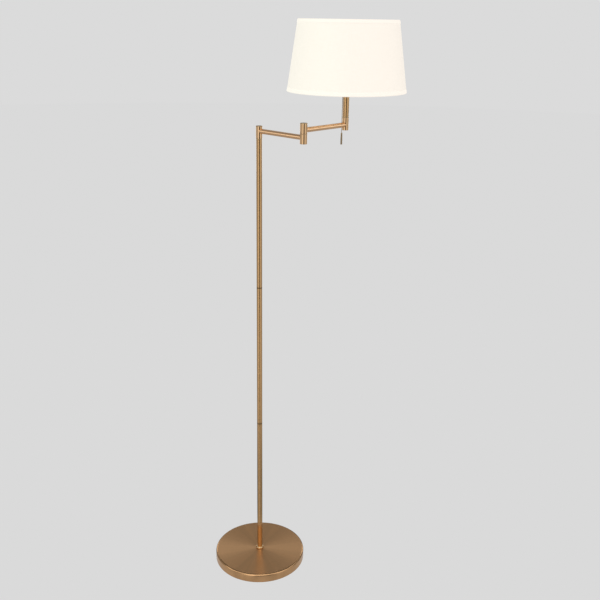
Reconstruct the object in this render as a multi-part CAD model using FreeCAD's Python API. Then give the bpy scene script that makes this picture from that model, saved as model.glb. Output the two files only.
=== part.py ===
import FreeCAD, Part
import os
from math import asin, cos, degrees, radians, sin, tan

# Swing-arm floor lamp: a weighted round base, a pole screwed together from three tubes,
# two level arms that fold over each other, and a conical fabric shade on a pull-switch holder.
# Millimetres. +Z is up. The origin is the bottom centre of the base, on the pole's axis.

# Base
BASE_R = 132.0
BASE_H = 26.0
BASE_EDGE = 4.5
COVER_WALL = 1.2
PAD_H = 2.0
SLAB_TOP = 19.0
CHANNEL_W = 10.0
INLET_Z = 9.0
INLET_R = 3.4

# Pole and arms
POLE_R = 7.5
POLE_WALL = 1.1
POLE_FOOT = 30.6
POLE_SEAMS = (448.0, 857.0)
POLE_TOP = 1256.0
ARM_R = 6.25
ARM_WALL = 1.1
ARM_REACH = 160.0
INNER_ARM_TURN = -45.0
OUTER_ARM_TURN = 48.5
INNER_ARM_Z = 1276.0
OUTER_ARM_Z = 1294.0

# Joints: journals turn in bored hubs with a running fit
JOURNAL_R = 5.0
RUNNING_GAP = 0.05
WIREWAY_R = 3.2
HUB_R = 8.2
HUB_CHAMBER_R = 6.7
HUB_BOTTOM = 1257.6
HUB_TOP = 1289.0
HUB_BEARING = 9.4
END_HUB_BOTTOM = 1280.6
END_HUB_TOP = 1313.0
BARREL_R = 9.0
BARREL_CHAMBER_R = 7.25
BARREL_BOTTOM = 1261.0
BARREL_SPLIT = 1285.3
BARREL_TOP = 1311.0
WASHER_H = 0.6
CAP_H = 2.0
CAP_PLUG_H = 2.0
POST_OVER = 3.9
BARREL_ROOF = 5.8
BARREL_FLOOR = 2.8
PIVOT_OVER = 2.6

# Stops: a screw's tip in a groove at each hub, a pin in a slot at the elbow
SHOULDER_SWING = 160.0
ELBOW_SWING = 160.0
STEM_SWING = 127.5
STEM_SWING_MIDDLE = -42.5
STOP_PLAY = 1.0
SCREW_R = 1.5
SCREW_TIP_R = 0.9
GROOVE_R = 4.25
GROOVE_HALF_H = 1.2
PIN_R = 1.0
PIN_REACH = 7.0

# Stem, lampholder, bulb and pull switch
STEM_R = 7.8
STEM_TOP = 1366.0
HOLDER_R = 19.0
HOLDER_TOP = 1432.0
BULB_BASE = 1401.0
BULB_R = 30.0
PULL_REACH = 24.0
PULL_TURN = 109.5
CORD_R = 0.7
PENDANT_R = 2.4
PENDANT_BOTTOM = 1240.6
PENDANT_H = 30.6

# Shade
SHADE_BOTTOM = 1376.0
SHADE_H = 172.0
SHADE_BOTTOM_R = 150.0
SHADE_TOP_R = 125.0
FABRIC_T = 0.6
LINER_T = 0.5
RING_WIRE_R = 1.5
FITTER_Z = 1412.0
FITTER_R = 30.5
FITTER_H = 1.8
CLAMP_RING_R = 27.0
SPOKE_TURNS = (90, 210, 330)

# Wiring, fits, and the far end of a through cut
FLEX_R = 2.2
FLEX_BEND = 4.6
FIT = 0.05
FAR = 2000.0
PAST_HUB = 20.0

ORIGIN = FreeCAD.Vector(0, 0, 0)
UP = FreeCAD.Vector(0, 0, 1)

nodes = {}


# --- plain shapes ---------------------------------------------------------------------------

def across(azimuth, reach=1.0):
    """A level vector at an azimuth in degrees."""
    return FreeCAD.Vector(reach * cos(radians(azimuth)), reach * sin(radians(azimuth)), 0)


ELBOW = across(INNER_ARM_TURN, ARM_REACH)
STEM = ELBOW + across(OUTER_ARM_TURN, ARM_REACH)


def disc(radius, low, high):
    return Part.makeCylinder(radius, high - low, FreeCAD.Vector(0, 0, low))


def ring(inner, outer, low, high):
    return disc(outer, low, high).cut(disc(inner, low - 1, high + 1))


def turned(outline, sweep=360):
    """A solid turned about the Z axis from its closed (radius, height) outline."""
    corners = [FreeCAD.Vector(r, 0, z) for r, z in outline]
    face = Part.Face(Part.makePolygon(corners + corners[:1]))
    return face.revolve(ORIGIN, UP, sweep)


def block(x_low, x_high, y_low, y_high, z_low, z_high):
    corner = FreeCAD.Vector(x_low, y_low, z_low)
    return Part.makeBox(x_high - x_low, y_high - y_low, z_high - z_low, corner)


def rod(start, end, radius):
    return Part.makeCylinder(radius, start.distanceToPoint(end), start, end - start)


def rounded(shape, heights, radius, size):
    """Round the circular edges of one radius that lie at the given heights."""
    edges = [
        edge for edge in shape.Edges
        if isinstance(edge.Curve, Part.Circle)
        and abs(edge.Curve.Radius - radius) < 0.01
        and any(abs(edge.Curve.Center.z - height) < 0.01 for height in heights)
    ]
    return shape.makeFillet(size, edges)


def placed(shape, centre, turn=0.0):
    """Turn a shape about Z, then stand it on a joint's axis."""
    moved = shape.copy()
    moved.rotate(ORIGIN, UP, turn)
    moved.translate(centre)
    return moved


def arc_groove(inner, outer, low, high, middle, half_span):
    """Part of a ring, centred on one azimuth: the path of a stop screw or pin."""
    outline = [(inner, low), (outer, low), (outer, high), (inner, high)]
    groove = turned(outline, 2 * half_span)
    groove.rotate(ORIGIN, UP, middle - half_span)
    return groove


def flex(points, bend):
    """A round flex of straight runs joined by tangent arcs of one radius."""
    points = [FreeCAD.Vector(*point) for point in points]
    edges = []
    start = points[0]
    for corner, after in zip(points[1:-1], points[2:]):
        into = (start - corner).normalize()
        away = (after - corner).normalize()
        half = into.getAngle(away) / 2
        reach = bend / tan(half)
        arc_start = corner + into * reach
        arc_end = corner + away * reach
        middle = (into + away).normalize()
        arc_middle = corner + middle * (bend / sin(half) - bend)
        edges.append(Part.LineSegment(start, arc_start).toShape())
        edges.append(Part.Arc(arc_start, arc_middle, arc_end).toShape())
        start = arc_end
    edges.append(Part.LineSegment(start, points[-1]).toShape())
    path = Part.Wire(edges)
    section = Part.Wire(Part.Circle(points[0], points[1] - points[0], FLEX_R).toShape())
    return path.makePipeShell([section], True, True)


def stop_screw(azimuth, height):
    """A hub's M3 dog-point screw. It lies radially, with a hexagon socket outside."""
    out = across(azimuth)
    side = across(azimuth + 90)
    lift = UP * height
    body = rod(lift + out * 5.6, lift + out * 8.0, SCREW_R - FIT)
    tip = rod(lift + out * (GROOVE_R + 0.1), lift + out * 5.7, SCREW_TIP_R)
    key_r = 0.85
    socket = Part.makePolygon([
        lift + out * 6.9 + side * (key_r * cos(radians(60 * i))) + UP * (key_r * sin(radians(60 * i)))
        for i in range(7)
    ])
    return body.fuse(tip).cut(Part.Face(socket).extrude(out * 2)).removeSplitter()


def hexagon(across_flats, low, high, hole):
    corner = across_flats / 2 / cos(radians(30))
    outline = Part.makePolygon([
        FreeCAD.Vector(corner * cos(radians(60 * i)), corner * sin(radians(60 * i)), low)
        for i in range(7)
    ])
    nut = Part.Face(outline).extrude(FreeCAD.Vector(0, 0, high - low))
    crown = turned([(0, low), (corner - 0.9, low), (corner, low + 0.6), (corner, high - 0.6),
                    (corner - 0.9, high), (0, high)])
    return nut.common(crown).cut(disc(hole, low - 1, high + 1))


# --- base -----------------------------------------------------------------------------------

def make_base():
    """A spun brass-finished cover over an iron weight, with a felt underneath."""
    edge_r = BASE_EDGE
    outer = rounded(disc(BASE_R, 1.2, BASE_H), [BASE_H], BASE_R, edge_r)
    inside_top = BASE_H - COVER_WALL
    inside = rounded(disc(BASE_R - COVER_WALL, 0, inside_top), [inside_top],
                     BASE_R - COVER_WALL, edge_r - COVER_WALL)
    inlet = rod(FreeCAD.Vector(0, BASE_R - 12, INLET_Z), FreeCAD.Vector(0, BASE_R + 5, INLET_Z), 4.5)
    nodes["base_cover"] = outer.cut(inside).cut(disc(5.3, 0, BASE_H + 1)).cut(inlet)

    weight_r = BASE_R - COVER_WALL - 0.4
    slab = disc(weight_r, PAD_H + 0.1, SLAB_TOP)
    boss = disc(32, SLAB_TOP - 1, inside_top - 0.1)
    nut_recess = disc(24, 0, 17)
    channel = block(-CHANNEL_W / 2, CHANNEL_W / 2, 0, BASE_R, 0, 13.0)
    inlet_room = block(-8, 8, BASE_R - 14, BASE_R, 0, 16.5)
    terminal_room = block(-11, 11, 40, 66, 0, 13.0)
    weight = slab.fuse(boss).removeSplitter()
    for cut in (nut_recess, channel, inlet_room, terminal_room, disc(5.3, 0, BASE_H)):
        weight = weight.cut(cut)
    nodes["base_weight"] = weight
    nodes["base_pad"] = disc(BASE_R - 7, 0, PAD_H)

    washer_top = 17.0 - FIT
    nodes["base_washer"] = ring(5.2, 12, washer_top - 1.5, washer_top)
    nodes["base_nut"] = hexagon(17, washer_top - 6.1, washer_top - 1.55, JOURNAL_R + FIT)
    nodes["base_nipple"] = ring(3.5, JOURNAL_R, 10.5, 57)


def make_inlet():
    """The rubber bush in the cover's rear rim, and the terminal block inside it."""
    bush_outline = [(INLET_R, BASE_R - 3.0), (6.0, BASE_R - 3.0), (6.0, BASE_R - 1.6),
                    (4.4, BASE_R - 1.6), (4.4, BASE_R + 0.1), (6.2, BASE_R + 0.1),
                    (5.6, BASE_R + 1.5), (INLET_R, BASE_R + 1.5)]
    bush = turned(bush_outline)
    bush.rotate(ORIGIN, FreeCAD.Vector(1, 0, 0), -90)
    bush.translate(UP * INLET_Z)
    nodes["inlet_bush"] = bush

    terminals = block(-9, 9, 43, 63, PAD_H + 0.4, 12.5)
    waist = block(-10, 10, 50.5, 55.5, 9.5, 14)
    terminals = terminals.cut(waist)
    for side in (-4.2, 4.2):
        way = rod(FreeCAD.Vector(side, 42, 6.6), FreeCAD.Vector(side, 64, 6.6), 1.6)
        terminals = terminals.cut(way)
    nodes["terminal_block"] = terminals


def make_pole():
    """The foot ring, three screwed tubes, the plugs inside them and the flex up the middle."""
    collar = rounded(disc(11.25, BASE_H, BASE_H + 6.8), [BASE_H, BASE_H + 6.8], 11.25, 2.4)
    collar = collar.cut(disc(JOURNAL_R + 0.2, 0, 99)).cut(disc(POLE_R + 0.12, POLE_FOOT - 0.1, 99))
    nodes["foot_ring"] = collar

    bore = POLE_R - POLE_WALL
    nodes["pole_foot_plug"] = ring(JOURNAL_R + FIT, bore - FIT, POLE_FOOT + 0.2, 58)
    ends = (POLE_FOOT,) + POLE_SEAMS + (POLE_TOP,)
    for name, low, high in zip(("pole_lower", "pole_middle", "pole_upper"), ends, ends[1:]):
        tube = turned([(bore, low), (POLE_R - 0.35, low), (POLE_R, low + 0.35),
                       (POLE_R, high - 0.35), (POLE_R - 0.35, high), (bore, high)])
        nodes[name] = tube
    for name, seam in zip(("pole_lower_joiner", "pole_upper_joiner"), POLE_SEAMS):
        nodes[name] = ring(3.8, bore - FIT, seam - 28, seam + 28)


# --- shoulder -------------------------------------------------------------------------------

def make_shoulder():
    """A hollow post in the pole's top carries the inner arm's hub; a ring nut holds it down."""
    stop_z = HUB_BOTTOM + HUB_BEARING / 2
    post_top = HUB_BOTTOM + HUB_BEARING + POST_OVER
    post = disc(POLE_R - POLE_WALL - FIT, POLE_TOP - 26, POLE_TOP)
    post = post.fuse(disc(POLE_R, POLE_TOP, POLE_TOP + 1)).fuse(disc(JOURNAL_R, POLE_TOP, post_top))
    post = post.cut(disc(WIREWAY_R, 0, post_top + 1))
    screw_turn = INNER_ARM_TURN + 180
    tip_half = degrees(asin(SCREW_TIP_R / GROOVE_R))
    groove = arc_groove(GROOVE_R, 6, stop_z - GROOVE_HALF_H, stop_z + GROOVE_HALF_H, screw_turn,
                        SHOULDER_SWING + tip_half + STOP_PLAY)
    nodes["shoulder_post"] = post.cut(groove).removeSplitter()
    nodes["shoulder_washer"] = ring(JOURNAL_R + 0.1, HUB_R - 0.7, POLE_TOP + 1, HUB_BOTTOM)
    nut_low = HUB_BOTTOM + HUB_BEARING + 0.1
    nodes["shoulder_ring_nut"] = ring(JOURNAL_R + FIT, 6.3, nut_low, nut_low + 3)

    hub = disc(HUB_R, HUB_BOTTOM, HUB_TOP - CAP_H)
    hub = hub.cut(disc(JOURNAL_R + RUNNING_GAP, 0, FAR))
    hub = hub.cut(disc(HUB_CHAMBER_R, HUB_BOTTOM + HUB_BEARING, FAR))
    hub = hub.cut(side_hole(0, INNER_ARM_Z, ARM_R + FIT))
    hub = hub.cut(side_hole(180, stop_z, SCREW_R))
    nodes["shoulder_hub"] = placed(hub, ORIGIN, INNER_ARM_TURN)
    nodes["shoulder_stop_screw"] = stop_screw(screw_turn, stop_z)
    cap = disc(HUB_R, HUB_TOP - CAP_H, HUB_TOP)
    cap = rounded(cap, [HUB_TOP], HUB_R, 0.6)
    plug = disc(HUB_CHAMBER_R - FIT, HUB_TOP - CAP_H - CAP_PLUG_H, HUB_TOP - CAP_H)
    nodes["shoulder_cap"] = cap.fuse(plug)


def side_hole(azimuth, height, radius):
    """The drill for a level hole from a hub's axis out through its wall."""
    lift = UP * height
    return rod(lift, lift + across(azimuth, PAST_HUB), radius)


def arm_tube(height, first_room, second_room):
    """A straight arm along +X, with its ends hollowed to the two chambers it opens into."""
    start = FreeCAD.Vector(0, 0, height)
    end = FreeCAD.Vector(ARM_REACH, 0, height)
    tube = rod(start, end, ARM_R).cut(rod(start, end, ARM_R - ARM_WALL))
    tube = tube.cut(disc(first_room + FIT, 0, FAR))
    return tube.cut(placed(disc(second_room + FIT, 0, FAR), across(0, ARM_REACH)))


# --- elbow ----------------------------------------------------------------------------------

def make_elbow():
    """Two equal barrels on one hollow pivot: the lower on the inner arm, the upper on the outer."""
    roof = BARREL_SPLIT - BARREL_ROOF
    floor_top = BARREL_SPLIT + WASHER_H + BARREL_FLOOR
    socket_r = ARM_R + FIT

    lower = rounded(disc(BARREL_R, BARREL_BOTTOM + CAP_H, BARREL_SPLIT), [BARREL_SPLIT], BARREL_R, 0.4)
    lower = lower.cut(disc(JOURNAL_R + 0.02, 0, FAR)).cut(disc(BARREL_CHAMBER_R, 0, roof))
    lower = lower.cut(side_hole(180, INNER_ARM_Z, socket_r))
    lower = lower.cut(placed(disc(PIN_R + FIT, BARREL_SPLIT - 2.3, FAR), across(0, PIN_REACH)))
    nodes["elbow_lower_barrel"] = placed(lower, ELBOW, INNER_ARM_TURN)
    pin = disc(PIN_R, BARREL_SPLIT - 2.25, BARREL_SPLIT + WASHER_H + 1.6)
    nodes["elbow_stop_pin"] = placed(placed(pin, across(0, PIN_REACH)), ELBOW, INNER_ARM_TURN)

    pivot_top = floor_top + PIVOT_OVER
    pivot = disc(6.7, roof - 2, roof - 0.02).fuse(disc(JOURNAL_R, roof - 2, pivot_top))
    nodes["elbow_pivot"] = placed(pivot.cut(disc(WIREWAY_R, 0, FAR)).removeSplitter(), ELBOW)
    nodes["elbow_washer"] = placed(ring(5.15, 5.8, BARREL_SPLIT, BARREL_SPLIT + WASHER_H), ELBOW)
    nodes["elbow_ring_nut"] = placed(ring(JOURNAL_R + 0.02, 6.7, floor_top + 0.1, floor_top + 2.3), ELBOW)

    base = BARREL_SPLIT + WASHER_H
    upper = rounded(disc(BARREL_R, base, BARREL_TOP - CAP_H), [base], BARREL_R, 0.4)
    upper = upper.cut(disc(JOURNAL_R + RUNNING_GAP, 0, FAR)).cut(disc(BARREL_CHAMBER_R, floor_top, FAR))
    upper = upper.cut(side_hole(0, OUTER_ARM_Z, socket_r))
    pin_half = degrees(asin(PIN_R / PIN_REACH))
    # Straight arms put the pin in the middle of its slot.
    slot = arc_groove(5.85, 8.15, base - 1, base + 1.8, 0, ELBOW_SWING + pin_half + STOP_PLAY)
    upper = upper.cut(slot)
    nodes["elbow_upper_barrel"] = placed(upper, ELBOW, OUTER_ARM_TURN)

    plug_r = BARREL_CHAMBER_R - FIT
    seat = BARREL_BOTTOM + CAP_H
    bottom_cap = rounded(disc(BARREL_R, BARREL_BOTTOM, seat), [BARREL_BOTTOM], BARREL_R, 0.6)
    bottom_cap = bottom_cap.fuse(disc(plug_r, seat, seat + CAP_PLUG_H))
    nodes["elbow_bottom_cap"] = placed(bottom_cap, ELBOW)
    seat = BARREL_TOP - CAP_H
    top_cap = rounded(disc(BARREL_R, seat, BARREL_TOP), [BARREL_TOP], BARREL_R, 0.6)
    nodes["elbow_top_cap"] = placed(top_cap.fuse(disc(plug_r, seat - CAP_PLUG_H, seat)), ELBOW)


def make_arms():
    inner = arm_tube(INNER_ARM_Z, HUB_CHAMBER_R, BARREL_CHAMBER_R)
    nodes["inner_arm_tube"] = placed(inner, ORIGIN, INNER_ARM_TURN)
    outer = arm_tube(OUTER_ARM_Z, BARREL_CHAMBER_R, HUB_CHAMBER_R)
    nodes["outer_arm_tube"] = placed(outer, ELBOW, OUTER_ARM_TURN)


# --- outer hub and stem ---------------------------------------------------------------------

def make_end_hub():
    """The shoulder's hub turned upside down: the stem's post hangs in it on a ring nut."""
    bearing_low = END_HUB_TOP - HUB_BEARING
    stop_z = END_HUB_TOP - HUB_BEARING / 2
    hub = disc(HUB_R, END_HUB_BOTTOM + CAP_H, END_HUB_TOP)
    hub = hub.cut(disc(JOURNAL_R + RUNNING_GAP, 0, FAR)).cut(disc(HUB_CHAMBER_R, 0, bearing_low))
    hub = hub.cut(side_hole(180, OUTER_ARM_Z, ARM_R + FIT))
    hub = hub.cut(side_hole(0, stop_z, SCREW_R))
    nodes["end_hub"] = placed(hub, STEM, OUTER_ARM_TURN)
    nodes["end_hub_stop_screw"] = placed(stop_screw(OUTER_ARM_TURN, stop_z), STEM)
    seat = END_HUB_BOTTOM + CAP_H
    cap = rounded(disc(HUB_R, END_HUB_BOTTOM, seat), [END_HUB_BOTTOM], HUB_R, 0.6)
    cap = cap.fuse(disc(HUB_CHAMBER_R - FIT, seat, seat + CAP_PLUG_H))
    nodes["end_hub_cap"] = placed(cap, STEM)

    flange_low = END_HUB_TOP + WASHER_H
    stem_low = flange_low + 1
    post_low = bearing_low - POST_OVER
    post = disc(JOURNAL_R, post_low, stem_low).fuse(disc(STEM_R, flange_low, stem_low))
    post = post.fuse(disc(STEM_R - POLE_WALL - FIT, stem_low, stem_low + 24))
    post = post.cut(disc(WIREWAY_R, 0, FAR))
    tip_half = degrees(asin(SCREW_TIP_R / GROOVE_R))
    groove = arc_groove(GROOVE_R, 6, stop_z - GROOVE_HALF_H, stop_z + GROOVE_HALF_H,
                        OUTER_ARM_TURN - STEM_SWING_MIDDLE, STEM_SWING + tip_half + STOP_PLAY)
    nodes["stem_post"] = placed(post.cut(groove).removeSplitter(), STEM)
    nodes["stem_washer"] = placed(ring(JOURNAL_R + 0.1, HUB_R - 0.7, END_HUB_TOP, flange_low), STEM)
    nut_high = bearing_low - 0.1
    nodes["stem_ring_nut"] = placed(ring(JOURNAL_R + FIT, 6.3, nut_high - 3, nut_high), STEM)

    nodes["stem_tube"] = placed(ring(STEM_R - POLE_WALL, STEM_R, stem_low, STEM_TOP), STEM)
    nipple = disc(STEM_R - POLE_WALL - FIT, STEM_TOP - 20, STEM_TOP)
    nipple = nipple.fuse(disc(JOURNAL_R, STEM_TOP, STEM_TOP + 12)).cut(disc(WIREWAY_R, 0, FAR))
    nodes["holder_nipple"] = placed(nipple.removeSplitter(), STEM)


# --- lampholder, bulb and pull switch -------------------------------------------------------

def make_holder():
    """A metal screw holder: cup, ceramic core with contact and screw shell, threaded skirt."""
    low = STEM_TOP + 0.1
    wall = 1.0
    cup = turned([(JOURNAL_R + FIT, low), (10, low), (HOLDER_R, low + 18), (HOLDER_R, low + 28),
                  (HOLDER_R - wall, low + 28), (HOLDER_R - wall, low + 18.4), (9.4, low + 1.2),
                  (JOURNAL_R + FIT, low + 1.2)])
    pull_side = across(PULL_TURN)
    boss_z = UP * (low + 22)
    cup = cup.cut(side_hole(PULL_TURN, low + 22, 2.7))
    nodes["holder_cup"] = placed(cup, STEM)

    guide_low = low + 14
    guide = turned([(1.2, guide_low + 1.2), (2.9, guide_low), (3.9, guide_low + 0.6),
                    (3.0, guide_low + 3.4), (3.0, guide_low + 12), (1.2, guide_low + 12)])
    guide.translate(pull_side * PULL_REACH)
    boss_in = HOLDER_R - 2.6
    boss = rod(boss_z + pull_side * boss_in, boss_z + pull_side * (PULL_REACH - 2.2), 2.6)
    nodes["pull_guide"] = placed(guide.fuse(boss).removeSplitter(), STEM)

    core_low = low + 19
    core = disc(HOLDER_R - wall - 0.3, core_low, BULB_BASE - 5)
    core = core.fuse(ring(14.6, HOLDER_R - wall - 0.9, BULB_BASE - 5, BULB_BASE + 6)).removeSplitter()
    for side in (-9.5, 9.5):
        core = core.cut(placed(disc(1.6, 0, FAR), across(0, side)))
    core = core.cut(rod(boss_z + pull_side * (boss_in - 1), boss_z + pull_side * HOLDER_R, 2.9))
    nodes["holder_core"] = placed(core, STEM)
    shell_low = BULB_BASE - 4.95
    shell = turned([(7, shell_low), (14.2, shell_low), (14.2, shell_low + 26), (13.7, shell_low + 26),
                    (13.7, shell_low + 0.5), (7, shell_low + 0.5)])
    nodes["holder_screw_shell"] = placed(shell, STEM)
    contact = turned([(0, shell_low), (4, shell_low), (4, shell_low + 0.7), (2.5, BULB_BASE - 1.1),
                      (0, BULB_BASE - 1.1)])
    nodes["holder_contact"] = placed(contact, STEM)
    skirt_low = low + 28.1
    skirt = turned([(HOLDER_R - 1.2, skirt_low), (HOLDER_R, skirt_low), (HOLDER_R, HOLDER_TOP),
                    (15.2, HOLDER_TOP), (15.2, HOLDER_TOP - 1.2), (HOLDER_R - 1.2, HOLDER_TOP - 1.2)])
    nodes["holder_skirt"] = placed(skirt, STEM)
    for name, ring_low in (("shade_ring_lower", FITTER_Z - 3.4), ("shade_ring_upper", FITTER_Z + 2.0)):
        clamp = disc(CLAMP_RING_R, ring_low, ring_low + 3.2)
        clamp = rounded(clamp, [ring_low, ring_low + 3.2], CLAMP_RING_R, 0.8)
        nodes[name] = placed(clamp.cut(disc(HOLDER_R + 0.1, 0, FAR)), STEM)


def bulb_outline(inset):
    """Half outline of the bulb: a straight neck, a cone and a globe, all tangent."""
    globe_r = BULB_R - inset
    neck_r = 13.0 - inset
    globe_z = BULB_BASE + 75
    lean = radians(42.8)
    cone_top = FreeCAD.Vector(globe_r * cos(lean), 0, globe_z - globe_r * sin(lean))
    cone_low = FreeCAD.Vector(neck_r, 0, cone_top.z - (cone_top.x - neck_r) / tan(lean))
    foot = FreeCAD.Vector(neck_r, 0, BULB_BASE + 26)
    equator = FreeCAD.Vector(globe_r, 0, globe_z)
    crown = FreeCAD.Vector(0, 0, globe_z + globe_r)
    axis_foot = FreeCAD.Vector(0, 0, foot.z)
    return Part.Wire([
        Part.LineSegment(axis_foot, foot).toShape(),
        Part.LineSegment(foot, cone_low).toShape(),
        Part.LineSegment(cone_low, cone_top).toShape(),
        Part.Arc(cone_top, equator, crown).toShape(),
        Part.LineSegment(crown, axis_foot).toShape(),
    ])


def make_bulb():
    low = BULB_BASE
    cap = turned([(0, low - 1), (4.5, low - 1), (4.5, low + 0.6), (13.1, low + 4.5), (13.1, low + 25.8),
                  (12.5, low + 25.8), (12.5, low + 5), (4.1, low + 1.2), (0, low + 1.2)])
    nodes["bulb_cap"] = placed(cap, STEM)
    outside = Part.Face(bulb_outline(0)).revolve(ORIGIN, UP, 360)
    inside = Part.Face(bulb_outline(0.8)).revolve(ORIGIN, UP, 360)
    nodes["bulb_glass"] = placed(outside.cut(inside), STEM)


def make_pull():
    """The pull cord, its slim turned weight, and where the cord enters it."""
    spot = STEM + across(PULL_TURN, PULL_REACH)
    top = PENDANT_BOTTOM + PENDANT_H
    weight = disc(PENDANT_R, PENDANT_BOTTOM, top)
    weight = rounded(weight, [PENDANT_BOTTOM], PENDANT_R, 0.9)
    weight = rounded(weight, [top], PENDANT_R, 1.2).cut(disc(CORD_R + 0.1, top - 6, top + 1))
    nodes["pull_weight"] = placed(weight, spot)
    nodes["pull_cord"] = placed(disc(CORD_R, top - 5.8, STEM_TOP + 25), spot)


# --- shade ----------------------------------------------------------------------------------

def cone_r(height):
    share = (height - SHADE_BOTTOM) / SHADE_H
    return SHADE_BOTTOM_R + (SHADE_TOP_R - SHADE_BOTTOM_R) * share


def cone_wall(outset, inset, low, high):
    """A thin conical wall between two distances in or out from the fabric's face."""
    return turned([(cone_r(low) - inset, low), (cone_r(low) + outset, low),
                   (cone_r(high) + outset, high), (cone_r(high) - inset, high)])


def wire_ring(height):
    centre_r = cone_r(height) - FABRIC_T - LINER_T - 0.3 - RING_WIRE_R
    return Part.makeTorus(centre_r, RING_WIRE_R, FreeCAD.Vector(0, 0, height)), centre_r


def make_shade():
    """Fabric laminated on a stiff liner, rolled over two wire rings; three spokes to the fitter."""
    top = SHADE_BOTTOM + SHADE_H
    nodes["shade_fabric"] = placed(cone_wall(0, FABRIC_T, SHADE_BOTTOM, top), STEM)
    liner_out = FABRIC_T + 0.1
    nodes["shade_liner"] = placed(cone_wall(-liner_out, liner_out + LINER_T, SHADE_BOTTOM, top), STEM)

    tape_t, tape_h = 0.4, 9.0
    tapes = []
    for edge, inward in ((SHADE_BOTTOM, 1), (top, -1)):
        fold = edge - inward * 0.1
        lip = fold - inward * tape_t
        reach = edge + inward * tape_h
        tapes.append(turned([
            (cone_r(reach) + 0.1, reach), (cone_r(edge) + 0.1, fold),
            (cone_r(edge) - 4.8, fold), (cone_r(edge) - 4.8, lip),
            (cone_r(edge) + 0.1 + tape_t, lip), (cone_r(reach) + 0.1 + tape_t, reach)]))
    nodes["shade_edge_tapes"] = placed(Part.makeCompound(tapes), STEM)

    top_ring, _ = wire_ring(top - RING_WIRE_R - 0.1)
    nodes["shade_top_wire"] = placed(top_ring, STEM)
    low_z = SHADE_BOTTOM + RING_WIRE_R + 0.1
    low_ring, ring_r = wire_ring(low_z)
    frame = ring(HOLDER_R + 0.6, FITTER_R, FITTER_Z, FITTER_Z + FITTER_H).fuse(low_ring)
    inner_end = across(0, FITTER_R - RING_WIRE_R) + UP * (FITTER_Z + FITTER_H / 2)
    outer_end = across(0, ring_r) + UP * low_z
    spoke = rod(inner_end, outer_end, RING_WIRE_R)
    for turn in SPOKE_TURNS:
        frame = frame.fuse(placed(spoke, ORIGIN, turn))
    nodes["shade_spider"] = placed(frame, STEM)


# --- flex inside the lamp -------------------------------------------------------------------

def make_wiring():
    """The flex from the base's terminals to the holder, in one length for each moving part."""
    post_mouth = HUB_BOTTOM + HUB_BEARING + POST_OVER
    nodes["pole_flex"] = flex([(0, 42.8, 5.0), (0, 0, 5.0), (0, 0, post_mouth + 0.2)], 7.0)

    shoulder_run = post_mouth + 5.4
    elbow_run = BARREL_SPLIT - BARREL_ROOF - 6.3
    pivot_mouth = BARREL_SPLIT + WASHER_H + BARREL_FLOOR + PIVOT_OVER
    nodes["inner_arm_flex"] = flex([
        (0, 0, post_mouth + 0.35),
        (0, 0, shoulder_run),
        (ELBOW.x, ELBOW.y, elbow_run),
        (ELBOW.x, ELBOW.y, pivot_mouth + 0.1),
    ], FLEX_BEND)

    elbow_exit = pivot_mouth + 5.4
    stem_mouth = END_HUB_TOP - HUB_BEARING - POST_OVER
    stem_run = stem_mouth - 5.2
    nodes["outer_arm_flex"] = flex([
        (ELBOW.x, ELBOW.y, pivot_mouth + 0.25),
        (ELBOW.x, ELBOW.y, elbow_exit),
        (STEM.x, STEM.y, stem_run),
        (STEM.x, STEM.y, stem_mouth - 0.15),
    ], FLEX_BEND)
    nodes["stem_flex"] = placed(disc(FLEX_R, stem_mouth, STEM_TOP + 18.8), STEM)


make_base()
make_inlet()
make_pole()
make_shoulder()
make_elbow()
make_arms()
make_end_hub()
make_holder()
make_bulb()
make_pull()
make_shade()
make_wiring()

os.makedirs("parts", exist_ok=True)
for name, shape in nodes.items():
    solids = shape.Solids
    print(name, "solids", len(solids), "valid", shape.isValid(), "volume", round(shape.Volume, 1))
    if len(solids) == 1:
        shape = solids[0]
    shape.exportStep("parts/" + name + ".step")
print("nodes", len(nodes))
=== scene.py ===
from math import atan2, cos, pi, radians, sin, sqrt, tau

import bmesh
import bpy
from mathutils import Matrix, Vector


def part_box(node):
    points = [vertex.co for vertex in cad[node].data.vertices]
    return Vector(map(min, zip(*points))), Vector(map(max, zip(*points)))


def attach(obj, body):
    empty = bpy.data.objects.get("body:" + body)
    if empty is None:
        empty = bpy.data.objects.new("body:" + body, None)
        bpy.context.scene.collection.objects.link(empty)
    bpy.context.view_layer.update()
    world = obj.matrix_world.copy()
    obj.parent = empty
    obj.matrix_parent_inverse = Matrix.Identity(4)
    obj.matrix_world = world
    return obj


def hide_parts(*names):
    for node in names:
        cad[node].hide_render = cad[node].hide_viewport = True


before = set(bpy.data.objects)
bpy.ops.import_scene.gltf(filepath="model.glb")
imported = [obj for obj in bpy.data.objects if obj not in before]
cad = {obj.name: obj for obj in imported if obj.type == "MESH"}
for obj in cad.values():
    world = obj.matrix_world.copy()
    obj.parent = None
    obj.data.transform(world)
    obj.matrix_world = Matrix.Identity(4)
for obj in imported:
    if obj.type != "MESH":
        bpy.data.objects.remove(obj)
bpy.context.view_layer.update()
scene = bpy.context.scene


# --- the studio -------------------------------------------------------------------------------
# A pale seamless floor under an even pale room. The camera stands two metres in front, as high
# as the lamp, and looks down at its middle. The brass mirrors upright pale and dark panels in
# front, a pale canopy over them and a dim wall behind, beside a few soft boxes.

PALE = (0.708, 0.708, 0.708)
LENS_MM = 49.03
CAMERA_AT = Vector((0.1105, -2.1045, 1.548))
CAMERA_PITCH = radians(19.01)
CAMERA_ROLL = radians(0.87)
BACKDROP = (1.0, 0.97, 0.94, 1)     # the tone of all that the brass mirrors
FLOOR_R = 14
FLOOR_Z = -0.0005                   # a hair under the felt, so that the two don't share a plane

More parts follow.
